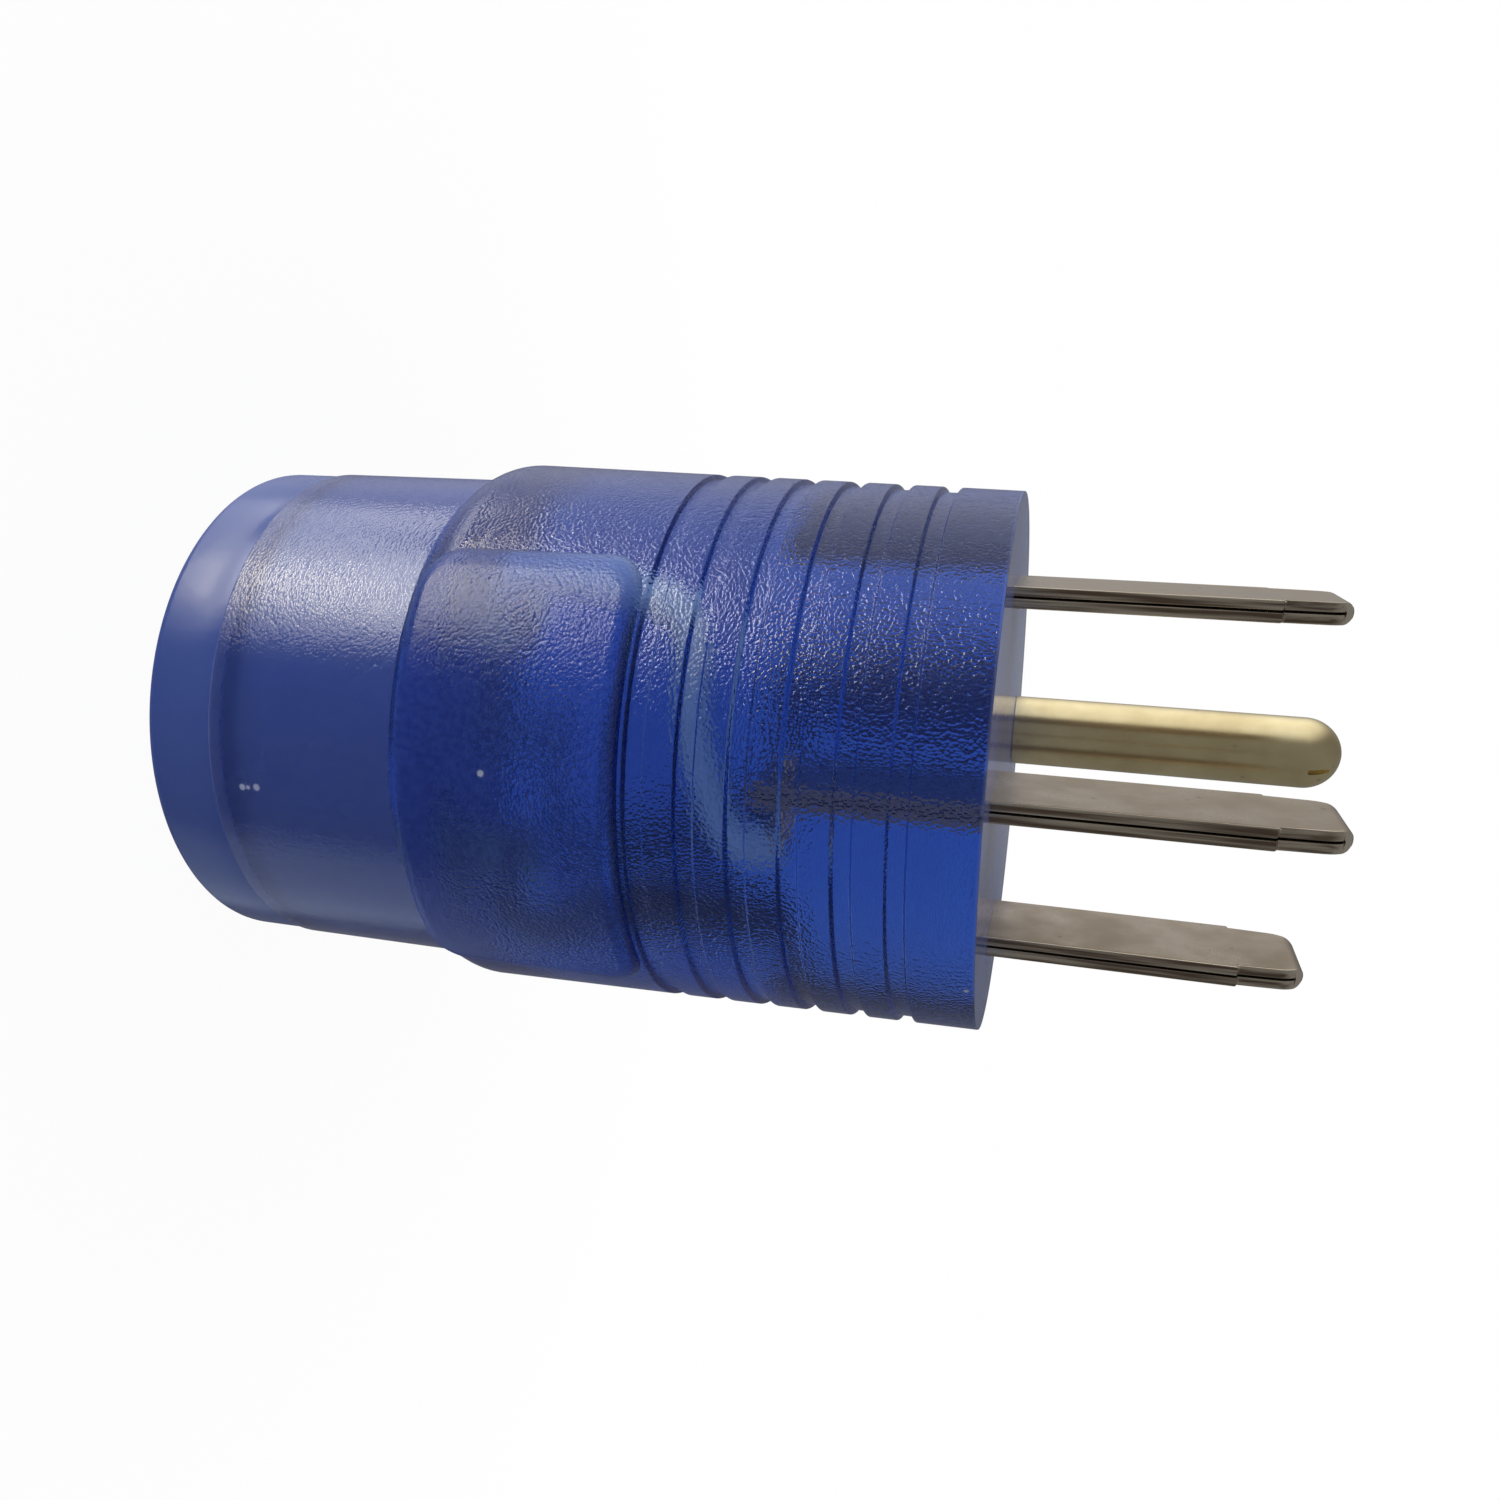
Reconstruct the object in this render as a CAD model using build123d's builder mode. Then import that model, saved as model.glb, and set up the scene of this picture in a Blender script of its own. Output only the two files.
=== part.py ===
from build123d import *
from math import acos, degrees, radians, sin, tan
import os

# Moulded body, stood on its socket end with the prongs up
body_length = 77.0
prong_face_diameter = 51.0
shoulder_diameter = 52.8
shoulder_round = 5.5
barrel_diameter = 49.6
barrel_end_height = 25.4

# Grip grooves round the body, counted down from the prong face
groove_count = 6
groove_pitch = 4.4
groove_width = 1.8
groove_floor_width = 1.4
groove_depth = 0.5
collar_length = 5.7

# Raised finger pads on two opposite sides
pad_diameter = 54.6
pad_width = 39.0
pad_height = 20.6
pad_corner_round = 3.4
pad_edge_round = 1.5
pad_to_groove = 0.3

# Socket insert: a lip that draws in towards the barrel's end, and a core that the body is moulded round
lip_diameter = 49.2
lip_length = 6.8
lip_edge_round = 1.0
seam_length = 2.2
seam_depth = 0.35
seam_chamfer = 0.3
core_diameter = 42.6
core_height = 18.0

# Socket openings: two slots set square to each other, and a round ground hole
slot_length = 9.6
slot_width = 2.6
slot_forward = 3.5
slot_spread = 17.2
slot_turn = 45.0
slot_depth = 4.0
ground_hole_diameter = 6.8
ground_hole_depth = 6.0
ground_hole_offset = 10.5

# Flat blades: strip folded double at the tip
blade_spacing = 33.0
line_blade_offset = 1.3
neutral_blade_offset = 13.0
blade_width = 10.6
blade_thickness = 2.0
blade_seam = 0.12
blade_length = 28.1
blade_shank = 20.0
blade_tip_length = 5.8
blade_tip_step = 0.45
blade_tip_taper = 0.35
blade_tip_corner = 2.4

# Ground pin: rolled tube with a domed end and a flattened tail
ground_pin_offset = 14.8
ground_pin_diameter = 7.2
ground_pin_wall = 1.1
ground_pin_length = 32.4
ground_pin_shank = 17.0
ground_pin_shank_diameter = 6.4
ground_pin_seam = 0.2
ground_pin_seam_turn = 21.0
ground_tail_length = 7.0

# Spring contacts in the insert
contact_strip = 0.8
contact_width = 10.0
contact_grip = 1.9
contact_flare = 0.5
contact_flare_length = 2.0
contact_fold = 1.0
contact_start_gap = 0.4
sleeve_bore = 6.4
sleeve_slit = 1.2
sleeve_rise = 1.5
tail_width = 6.0
tail_height = 9.0

# Wires, soldered through holes in the blades and tails
wire_diameter = 3.4
wire_core_diameter = 2.0
wire_bend_share = 0.45
bare_length = 6.5
solder_end = 2.2
joint_inset = 2.4
hook_reach = 4.8
wire_reach = 8.0
line_lean_length = 2.0
line_drop_length = 15.0
neutral_drop_length = 5.0
neutral_fall_length = 9.0
neutral_swing_length = 8.0
neutral_cross_length = 18.0
neutral_tuck_length = 1.0

# Clearances
mould_gap = 0.05
solder_gap = 0.1
cut_over = 1.0
tip_cut_clear = 0.2

# Places that follow from the sizes above
face_radius = prong_face_diameter / 2
shoulder_radius = shoulder_diameter / 2
barrel_radius = barrel_diameter / 2
shoulder_angle = acos(1 - (shoulder_radius - barrel_radius) / shoulder_round)
shoulder_height = barrel_end_height + shoulder_round * sin(shoulder_angle)
first_groove = body_length - collar_length - groove_width / 2
lowest_groove = first_groove - (groove_count - 1) * groove_pitch
pad_bottom = lowest_groove - groove_width / 2 - pad_to_groove - pad_height
core_top = lip_length + core_height
core_radius = core_diameter / 2
slot_places = {"line": (slot_spread / 2, -slot_turn), "neutral": (-slot_spread / 2, slot_turn)}
contact_half = (contact_grip + contact_strip) / 2
sleeve_radius = sleeve_bore / 2 + contact_strip
tail_joint_height = core_top + tail_height - joint_inset
blade_joint_height = body_length - blade_shank + joint_inset
ground_tail_end = body_length - ground_pin_shank - ground_tail_length
ground_joint_height = ground_tail_end + joint_inset
blade_places = {
    "line": (line_blade_offset, blade_spacing / 2),
    "spare": (line_blade_offset, -blade_spacing / 2),
    "neutral": (neutral_blade_offset, 0),
}

standing = (Align.CENTER, Align.CENTER, Align.MIN)

os.makedirs("parts", exist_ok=True)


def body_radius(height):
    """Radius of the tapered body at a height above the shoulder."""
    share = (body_length - height) / (body_length - shoulder_height)
    return face_radius + (shoulder_radius - face_radius) * share


def folded_blade():
    """One blade: a strip doubled back on itself at the tip, with its place on the prong face at z = 0."""
    half = blade_thickness / 2
    slit = blade_seam / 2
    fold = blade_length - half
    with BuildPart() as blade:
        with BuildSketch(Plane.YZ):
            with BuildLine():
                Polyline((-half, fold), (-half, -blade_shank), (-slit, -blade_shank), (-slit, fold),
                         (slit, fold), (slit, -blade_shank), (half, -blade_shank), (half, fold))
                ThreePointArc((half, fold), (0, blade_length), (-half, fold))
            make_face()
        extrude(amount=blade_width / 2, both=True)
        with BuildSketch(Plane.XZ) as plan:
            side = blade_width / 2
            tip_side = side - blade_tip_step
            tip_end = tip_side - blade_tip_taper
            tip_start = blade_length - blade_tip_length
            tip_top = blade_length + tip_cut_clear
            with BuildLine():
                Polyline((-side, -blade_shank), (side, -blade_shank), (side, tip_start),
                         (tip_side, tip_start), (tip_end, tip_top), (-tip_end, tip_top),
                         (-tip_side, tip_start), (-side, tip_start), close=True)
            make_face()
            fillet(plan.vertices().group_by(Axis.Y)[-1], blade_tip_corner)
        extrude(amount=blade_thickness, both=True, mode=Mode.INTERSECT)
        with Locations(Location((0, 0, joint_inset - blade_shank), (90, 0, 0))):
            Cylinder(wire_core_diameter / 2 + solder_gap, blade_thickness * 2, mode=Mode.SUBTRACT)
    return blade.part


def spring_clip():
    """One socket contact: two leaves that grip a blade, a base above them and a tail for the wire."""
    foot = slot_depth + contact_start_gap
    leaf = foot + contact_flare_length
    base = core_top - contact_strip / 2
    with BuildPart() as clip:
        with BuildSketch(Plane.YZ):
            with BuildLine():
                FilletPolyline((-contact_half - contact_flare, foot), (-contact_half, leaf),
                               (-contact_half, base), (contact_half, base), (contact_half, leaf),
                               (contact_half + contact_flare, foot), radius=contact_fold)
            trace(line_width=contact_strip)
        extrude(amount=contact_width / 2, both=True)
        with Locations((0, 0, base)):
            Box(tail_width, contact_strip, core_top + tail_height - base, align=standing)
        with Locations(Location((0, 0, tail_joint_height), (90, 0, 0))):
            Cylinder(wire_core_diameter / 2 + solder_gap, contact_strip * 2, mode=Mode.SUBTRACT)
    return clip.part


def bend_radii(route):
    """One radius for each corner of a route, as large as the shorter of its two runs allows."""
    points = [Vector(*point) for point in route]
    runs = [end - start for start, end in zip(points, points[1:])]
    radii = []
    for before, after in zip(runs, runs[1:]):
        turn = radians(before.get_angle(after))
        radii.append(wire_bend_share * min(before.length, after.length) / tan(turn / 2))
    return radii


def wire_run(route, diameter, bare=0.0):
    """A round run along a route of straight stretches and arcs, with a bare length left off each end."""
    with BuildLine() as path:
        FilletPolyline(*route, radius=bend_radii(route))
    whole = path.wire()
    share = bare / whole.length
    spine = whole.trim(share, 1 - share)
    with BuildPart() as run:
        with BuildSketch(Plane(origin=spine @ 0, z_dir=spine % 0)):
            Circle(diameter / 2)
        sweep(path=spine)
    return run.part


# Wire routes, from the joint on the prong to the joint on the contact's tail
line_x, line_y = blade_places["line"]
line_tail = Vector(slot_forward, slot_spread / 2, tail_joint_height)
line_way = Vector(0, 1, 0).rotate(Axis.Z, -slot_turn)
line_route = [
    (line_x, line_y + solder_end, blade_joint_height),
    (line_x, line_y - hook_reach, blade_joint_height),
    (line_x + line_lean_length, line_y - hook_reach, blade_joint_height - line_drop_length),
    line_tail + line_way * wire_reach,
    line_tail - line_way * solder_end,
]
neutral_tail = Vector(slot_forward, -slot_spread / 2, tail_joint_height)
neutral_way = Vector(0, -1, 0).rotate(Axis.Z, slot_turn)
neutral_route = [
    (neutral_blade_offset, -solder_end, blade_joint_height),
    (neutral_blade_offset, hook_reach, blade_joint_height),
    (neutral_blade_offset, hook_reach, blade_joint_height - neutral_drop_length),
    (neutral_blade_offset, hook_reach - neutral_swing_length, blade_joint_height - neutral_fall_length),
    (neutral_blade_offset - neutral_tuck_length, hook_reach - neutral_cross_length,
     blade_joint_height - neutral_fall_length),
    neutral_tail + neutral_way * wire_reach,
    neutral_tail - neutral_way * solder_end,
]
ground_tail_y = sleeve_bore / 2 + contact_strip / 2
ground_route = [
    (-ground_pin_offset, -solder_end, ground_joint_height),
    (-ground_pin_offset, wire_reach, ground_joint_height),
    (-ground_hole_offset, ground_tail_y + wire_reach, tail_joint_height),
    (-ground_hole_offset, ground_tail_y - solder_end, tail_joint_height),
]
routes = {"line": line_route, "neutral": neutral_route, "ground": ground_route}

# Blades and ground pin
with BuildPart() as line_blade:
    with Locations((*blade_places["line"], body_length)):
        add(folded_blade())

with BuildPart() as spare_blade:
    with Locations((*blade_places["spare"], body_length)):
        add(folded_blade())

with BuildPart() as neutral_blade:
    with Locations((*blade_places["neutral"], body_length)):
        add(folded_blade())

with BuildPart() as ground_pin:
    pin_radius = ground_pin_diameter / 2
    shank_radius = ground_pin_shank_diameter / 2
    bore_radius = pin_radius - ground_pin_wall
    dome_height = body_length + ground_pin_length - pin_radius
    pin_start = body_length - ground_pin_shank
    pin_axis = Axis((-ground_pin_offset, 0, 0), (0, 0, 1))
    with BuildSketch(Plane.XZ.shift_origin((-ground_pin_offset, 0, 0))):
        with BuildLine():
            Polyline((bore_radius, dome_height), (bore_radius, pin_start), (shank_radius, pin_start),
                     (shank_radius, body_length), (pin_radius, body_length), (pin_radius, dome_height))
            CenterArc((0, dome_height), pin_radius, 0, 90)
            Line((0, dome_height + pin_radius), (0, dome_height + bore_radius))
            CenterArc((0, dome_height), bore_radius, 0, 90)
        make_face()
    revolve(axis=pin_axis)
    with Locations(Location((-ground_pin_offset, 0, pin_start), (0, 0, ground_pin_seam_turn))):
        Box(pin_radius, ground_pin_seam, dome_height + bore_radius - pin_start,
            align=(Align.MIN, Align.CENTER, Align.MIN), mode=Mode.SUBTRACT)
    with Locations((-ground_pin_offset, 0, ground_tail_end)):
        Box(ground_pin_shank_diameter, ground_pin_wall * 2, ground_tail_length + ground_pin_wall,
            align=standing)
    with Locations(Location((-ground_pin_offset, 0, ground_joint_height), (90, 0, 0))):
        Cylinder(wire_core_diameter / 2 + solder_gap, ground_pin_wall * 4, mode=Mode.SUBTRACT)

# Socket contacts
with BuildPart() as line_contact:
    spread, turn = slot_places["line"]
    with Locations(Location((slot_forward, spread, 0), (0, 0, turn))):
        add(spring_clip())

with BuildPart() as neutral_contact:
    spread, turn = slot_places["neutral"]
    with Locations(Location((slot_forward, spread, 0), (0, 0, turn))):
        add(spring_clip())

with BuildPart() as ground_contact:
    sleeve_start = ground_hole_depth + contact_start_gap
    sleeve_length = core_top + sleeve_rise - sleeve_start
    with Locations((-ground_hole_offset, 0, sleeve_start)):
        Cylinder(sleeve_radius, sleeve_length, align=standing)
        Cylinder(sleeve_bore / 2, sleeve_length, align=standing, mode=Mode.SUBTRACT)
        Box(sleeve_radius, sleeve_slit, sleeve_length,
            align=(Align.MAX, Align.CENTER, Align.MIN), mode=Mode.SUBTRACT)
    with Locations((-ground_hole_offset, ground_tail_y, core_top + mould_gap)):
        Box(tail_width, contact_strip, tail_height - mould_gap, align=standing)
    with Locations(Location((-ground_hole_offset, ground_tail_y, tail_joint_height), (90, 0, 0))):
        Cylinder(wire_core_diameter / 2 + solder_gap, contact_strip * 2, mode=Mode.SUBTRACT)

# Wires
with BuildPart() as line_wire_core:
    add(wire_run(routes["line"], wire_core_diameter))

with BuildPart() as neutral_wire_core:
    add(wire_run(routes["neutral"], wire_core_diameter))

with BuildPart() as ground_wire_core:
    add(wire_run(routes["ground"], wire_core_diameter))

with BuildPart() as line_wire_jacket:
    add(wire_run(routes["line"], wire_diameter, bare_length))
    add(wire_run(routes["line"], wire_core_diameter + mould_gap * 2), mode=Mode.SUBTRACT)

with BuildPart() as neutral_wire_jacket:
    add(wire_run(routes["neutral"], wire_diameter, bare_length))
    add(wire_run(routes["neutral"], wire_core_diameter + mould_gap * 2), mode=Mode.SUBTRACT)

with BuildPart() as ground_wire_jacket:
    add(wire_run(routes["ground"], wire_diameter, bare_length))
    add(wire_run(routes["ground"], wire_core_diameter + mould_gap * 2), mode=Mode.SUBTRACT)

# Socket insert: lip and core turned together, then the openings and the pockets behind them
with BuildPart() as socket_insert:
    with BuildSketch(Plane.XZ):
        with BuildLine():
            lip_radius = lip_diameter / 2
            Polyline((0, 0), (lip_radius - lip_edge_round, 0))
            RadiusArc((lip_radius - lip_edge_round, 0), (lip_radius, lip_edge_round), -lip_edge_round)
            Polyline((lip_radius, lip_edge_round), (lip_radius, lip_length - seam_length),
                     (lip_radius - seam_depth, lip_length), (core_radius, lip_length),
                     (core_radius, core_top), (0, core_top), (0, 0))
        make_face()
    revolve(axis=Axis.Z)
    for spread, turn in slot_places.values():
        with Locations(Location((slot_forward, spread, 0), (0, 0, turn))):
            Box(slot_length, slot_width, slot_depth * 2, mode=Mode.SUBTRACT)
        with Locations(Location((slot_forward, spread, slot_depth), (0, 0, turn))):
            Box(contact_width + mould_gap * 2,
                contact_half * 2 + contact_strip + contact_flare * 2 + mould_gap * 2,
                core_top - slot_depth, align=standing, mode=Mode.SUBTRACT)
    with Locations((-ground_hole_offset, 0, 0)):
        Cylinder(ground_hole_diameter / 2, ground_hole_depth * 2, mode=Mode.SUBTRACT)
    with Locations((-ground_hole_offset, 0, ground_hole_depth)):
        Cylinder(sleeve_radius + mould_gap, core_top - ground_hole_depth,
                 align=standing, mode=Mode.SUBTRACT)

# Finger pads: a drum cut to a rounded rectangle, with its outer edges rounded
with BuildPart() as finger_pads:
    with Locations((0, 0, pad_bottom)):
        Cylinder(pad_diameter / 2, pad_height, align=standing)
    with BuildSketch(Plane.YZ):
        with Locations((0, pad_bottom + pad_height / 2)):
            RectangleRounded(pad_width, pad_height, pad_corner_round)
    extrude(amount=pad_diameter, both=True, mode=Mode.INTERSECT)
    pad_faces = finger_pads.faces().sort_by(Axis.X)
    fillet([*pad_faces[0].edges(), *pad_faces[-1].edges()], pad_edge_round)

# Moulded body: turned outline, pads and grooves, then room for everything that it is moulded round
with BuildPart() as moulded_body:
    with BuildSketch(Plane.XZ):
        with BuildLine():
            Polyline((0, lip_length), (barrel_radius - seam_chamfer, lip_length),
                     (barrel_radius, lip_length + seam_chamfer), (barrel_radius, barrel_end_height))
            CenterArc((shoulder_radius - shoulder_round, shoulder_height), shoulder_round,
                      -degrees(shoulder_angle), degrees(shoulder_angle))
            Polyline((shoulder_radius, shoulder_height), (face_radius, body_length), (0, body_length),
                     (0, lip_length))
        make_face()
    revolve(axis=Axis.Z)
    add(finger_pads.part)
    with BuildSketch(Plane.XZ):
        for number in range(groove_count):
            height = first_groove - number * groove_pitch
            surface = body_radius(height)
            with BuildLine():
                Polyline((surface - groove_depth, height - groove_floor_width / 2),
                         (surface - groove_depth, height + groove_floor_width / 2),
                         (surface, height + groove_width / 2),
                         (surface + cut_over, height + groove_width / 2),
                         (surface + cut_over, height - groove_width / 2),
                         (surface, height - groove_width / 2), close=True)
            make_face()
    revolve(axis=Axis.Z, mode=Mode.SUBTRACT)
    Cylinder(core_radius + mould_gap, core_top + mould_gap, align=standing, mode=Mode.SUBTRACT)
    for place in blade_places.values():
        with Locations((*place, body_length)):
            Box(blade_width + mould_gap * 2, blade_thickness + mould_gap * 2,
                (blade_shank + mould_gap) * 2, mode=Mode.SUBTRACT)
    with Locations((-ground_pin_offset, 0, body_length)):
        Cylinder(ground_pin_shank_diameter / 2 + mould_gap, (ground_pin_shank + mould_gap) * 2,
                 mode=Mode.SUBTRACT)
    with Locations((-ground_pin_offset, 0, ground_tail_end - mould_gap)):
        Box(ground_pin_shank_diameter + mould_gap * 2, (ground_pin_wall + mould_gap) * 2,
            ground_tail_length + ground_pin_wall + mould_gap * 2,
            align=standing, mode=Mode.SUBTRACT)
    for spread, turn in slot_places.values():
        with Locations(Location((slot_forward, spread, core_top), (0, 0, turn))):
            Box(tail_width + mould_gap * 2, contact_strip + mould_gap * 2, tail_height + mould_gap,
                align=standing, mode=Mode.SUBTRACT)
    with Locations((-ground_hole_offset, 0, core_top)):
        Cylinder(sleeve_radius + mould_gap, sleeve_rise + mould_gap, align=standing, mode=Mode.SUBTRACT)
    with Locations((-ground_hole_offset, ground_tail_y, core_top)):
        Box(tail_width + mould_gap * 2, contact_strip + mould_gap * 2, tail_height + mould_gap,
            align=standing, mode=Mode.SUBTRACT)
    for route in routes.values():
        add(wire_run(route, wire_core_diameter + mould_gap * 2), mode=Mode.SUBTRACT)
        add(wire_run(route, wire_diameter + mould_gap * 2, bare_length), mode=Mode.SUBTRACT)

moulded_body.part.label = "moulded_body"
socket_insert.part.label = "socket_insert"
line_blade.part.label = "line_blade"
spare_blade.part.label = "spare_blade"
neutral_blade.part.label = "neutral_blade"
ground_pin.part.label = "ground_pin"
line_contact.part.label = "line_contact"
neutral_contact.part.label = "neutral_contact"
ground_contact.part.label = "ground_contact"
line_wire_core.part.label = "line_wire_core"
neutral_wire_core.part.label = "neutral_wire_core"
ground_wire_core.part.label = "ground_wire_core"
line_wire_jacket.part.label = "line_wire_jacket"
neutral_wire_jacket.part.label = "neutral_wire_jacket"
ground_wire_jacket.part.label = "ground_wire_jacket"

export_step(moulded_body.part, "parts/moulded_body.step")
export_step(socket_insert.part, "parts/socket_insert.step")
export_step(line_blade.part, "parts/line_blade.step")
export_step(spare_blade.part, "parts/spare_blade.step")
export_step(neutral_blade.part, "parts/neutral_blade.step")
export_step(ground_pin.part, "parts/ground_pin.step")
export_step(line_contact.part, "parts/line_contact.step")
export_step(neutral_contact.part, "parts/neutral_contact.step")
export_step(ground_contact.part, "parts/ground_contact.step")
export_step(line_wire_core.part, "parts/line_wire_core.step")
export_step(neutral_wire_core.part, "parts/neutral_wire_core.step")
export_step(ground_wire_core.part, "parts/ground_wire_core.step")
export_step(line_wire_jacket.part, "parts/line_wire_jacket.step")
export_step(neutral_wire_jacket.part, "parts/neutral_wire_jacket.step")
export_step(ground_wire_jacket.part, "parts/ground_wire_jacket.step")
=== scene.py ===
from math import acos, cos, pi, radians, sin, sqrt

import bpy
from mathutils import Matrix, Vector


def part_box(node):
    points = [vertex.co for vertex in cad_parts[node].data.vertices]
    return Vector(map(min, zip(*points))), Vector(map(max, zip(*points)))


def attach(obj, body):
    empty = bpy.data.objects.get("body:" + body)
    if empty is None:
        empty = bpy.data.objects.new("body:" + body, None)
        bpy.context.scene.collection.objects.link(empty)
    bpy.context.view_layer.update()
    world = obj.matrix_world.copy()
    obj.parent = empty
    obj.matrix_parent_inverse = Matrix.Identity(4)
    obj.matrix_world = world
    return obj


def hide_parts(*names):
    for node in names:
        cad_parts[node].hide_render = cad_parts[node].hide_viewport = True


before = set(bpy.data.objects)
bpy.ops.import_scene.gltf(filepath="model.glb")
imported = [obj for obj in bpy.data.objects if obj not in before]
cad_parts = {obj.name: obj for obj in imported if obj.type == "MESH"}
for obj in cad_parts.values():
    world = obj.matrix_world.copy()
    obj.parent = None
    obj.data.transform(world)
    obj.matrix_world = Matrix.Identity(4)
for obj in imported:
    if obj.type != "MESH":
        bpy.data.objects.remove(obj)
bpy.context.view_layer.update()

# Socket insert: the hard blue plastic puck of the socket end, moulded first. Its smooth lip shows below the
# barrel, with two slots and a round ground hole in its face, and its core holds the contacts.
mm = 0.001
merge_distance = mm / 1000
body_low, body_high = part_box("moulded_body")
lip_top = body_low.z
lip_radius = 24.6 * mm
lip_edge_round = 1.0 * mm
seam_length = 2.2 * mm
seam_depth = 0.35 * mm
core_radius = 21.3 * mm
core_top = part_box("socket_insert")[1].z
slot_length = 9.6 * mm
slot_width = 2.6 * mm
slot_depth = 4.0 * mm
slot_places = (
    (3.5 * mm, 8.6 * mm, radians(-45)),
    (3.5 * mm, -8.6 * mm, radians(45)),
)
clip_room = (10.1 * mm, 4.6 * mm)
clip_room_overrun = 0.1 * mm
ground_hole_x = -10.5 * mm
ground_hole_radius = 3.4 * mm
ground_hole_depth = 6.0 * mm
sleeve_room_radius = 4.05 * mm
hole_overrun = 1.0 * mm
insert_edge = 0.15 * mm
flat_face_angle = radians(0.5)
insert_smoothing = 30
round_turns = 288


def first_point(place):
    """A new piece, left in edit mode, that is one vertex at this place: the start of a drawn outline."""
    bpy.ops.object.select_all(action="DESELECT")
    bpy.ops.mesh.primitive_plane_add(size=mm)
    bpy.ops.object.mode_set(mode="EDIT")
    bpy.ops.mesh.select_mode(type="VERT")
    bpy.ops.mesh.select_all(action="SELECT")
    bpy.ops.mesh.merge(type="CENTER")
    bpy.ops.mesh.select_all(action="SELECT")
    bpy.ops.transform.translate(value=place)
    return bpy.context.object


def close_mesh():
    """Merges the doubles of the mesh in edit mode, turns its faces outwards and leaves edit mode."""
    bpy.ops.mesh.select_all(action="SELECT")
    bpy.ops.mesh.remove_doubles(threshold=merge_distance)
    bpy.ops.mesh.normals_make_consistent(inside=False)
    bpy.ops.object.mode_set(mode="OBJECT")


def turned_piece(name, start, steps, turns=round_turns, arc_steps=8):
    """A piece turned round the Z axis: a vertex draws half its outline in runs and arcs, and it is spun."""
    piece = first_point((start[0], 0, start[1]))
    piece.name = piece.data.name = name
    pen = Vector(start)
    for step in steps:
        if len(step) == 2:
            move = Vector(step) - pen
            bpy.ops.mesh.extrude_vertices_move(TRANSFORM_OT_translate={"value": (move.x, 0, move.y)})
            pen = Vector(step)
        else:
            centre, turn = Vector(step[:2]), step[2]
            bpy.ops.mesh.spin(steps=arc_steps, angle=turn, center=(centre.x, 0, centre.y), axis=(0, 1, 0))
            pen = centre + Matrix.Rotation(turn, 2) @ (pen - centre)
    bpy.ops.mesh.select_all(action="SELECT")
    bpy.ops.mesh.spin(steps=turns, angle=2 * pi, center=(0, 0, 0), axis=(0, 0, 1))
    close_mesh()
    return piece


def block(size, place, turn=0.0):
    """A plain block, used to cut another piece or to start one."""
    bpy.ops.object.select_all(action="DESELECT")
    bpy.ops.mesh.primitive_cube_add(size=1, location=place, rotation=(0, 0, turn), scale=size)
    bpy.ops.object.transform_apply(location=True, rotation=True, scale=True)
    return bpy.context.object


def rod(radius, low, high, place, turns=64):
    """A plain upright rod, used to cut another piece."""
    bpy.ops.object.select_all(action="DESELECT")
    bpy.ops.mesh.primitive_cylinder_add(vertices=turns, radius=radius, depth=high - low,
                                        location=(place[0], place[1], (low + high) / 2))
    bpy.ops.object.transform_apply(location=True, rotation=True, scale=True)
    return bpy.context.object


def pick(piece):
    """Makes a piece the only one that is selected, and the active one."""
    bpy.ops.object.select_all(action="DESELECT")
    piece.select_set(True)
    bpy.context.view_layer.objects.active = piece


def finish_with(piece, kind, **values):
    """Adds a modifier to a piece with these values and applies it."""
    pick(piece)
    modifier = piece.modifiers.new("finish", kind)
    for name, value in values.items():
        setattr(modifier, name, value)
    bpy.ops.object.modifier_apply(modifier=modifier.name)


def combine(piece, other, operation):
    """Cuts a piece with another one, or joins that one to it, and removes the other."""
    finish_with(piece, "BOOLEAN", operation=operation, solver="EXACT", object=other)
    bpy.data.objects.remove(other)


def round_edges(piece, width, angle=40):
    """Rounds the edges of a piece that are sharper than this angle."""
    finish_with(piece, "BEVEL", width=width, segments=2, limit_method="ANGLE", angle_limit=radians(angle),
                use_clamp_overlap=False)


def smooth(piece, angle):
    """Shades a piece smooth, apart from edges sharper than this angle, with its broad faces kept flat."""
    pick(piece)
    bpy.ops.object.shade_smooth_by_angle(angle=radians(angle))
    finish_with(piece, "WEIGHTED_NORMAL", keep_sharp=True)


socket_insert = turned_piece("socket_insert_smooth", (0, 0), [
    (lip_radius - lip_edge_round, 0),
    (lip_radius - lip_edge_round, lip_edge_round, radians(90)),
    (lip_radius, lip_top - seam_length),
    (lip_radius - seam_depth, lip_top),
    (core_radius, lip_top),
    (core_radius, core_top),
    (0, core_top),
])
clip_room_middle = (core_top + slot_depth) / 2 + clip_room_overrun
for slot_x, slot_y, slot_turn in slot_places:
    slot = block((slot_length, slot_width, 2 * slot_depth), (slot_x, slot_y, 0), slot_turn)
    combine(socket_insert, slot, "DIFFERENCE")
    pocket = block((*clip_room, core_top - slot_depth), (slot_x, slot_y, clip_room_middle), slot_turn)
    combine(socket_insert, pocket, "DIFFERENCE")
for hole_radius, hole_low, hole_high in (
    (ground_hole_radius, -hole_overrun, ground_hole_depth + hole_overrun),
    (sleeve_room_radius, ground_hole_depth, core_top + hole_overrun),
):
    combine(socket_insert, rod(hole_radius, hole_low, hole_high, (ground_hole_x, 0)), "DIFFERENCE")
bpy.ops.object.mode_set(mode="EDIT")
bpy.ops.mesh.select_all(action="SELECT")
bpy.ops.mesh.dissolve_limited(angle_limit=flat_face_angle)
bpy.ops.object.mode_set(mode="OBJECT")
round_edges(socket_insert, insert_edge)
smooth(socket_insert, insert_smoothing)


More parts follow.
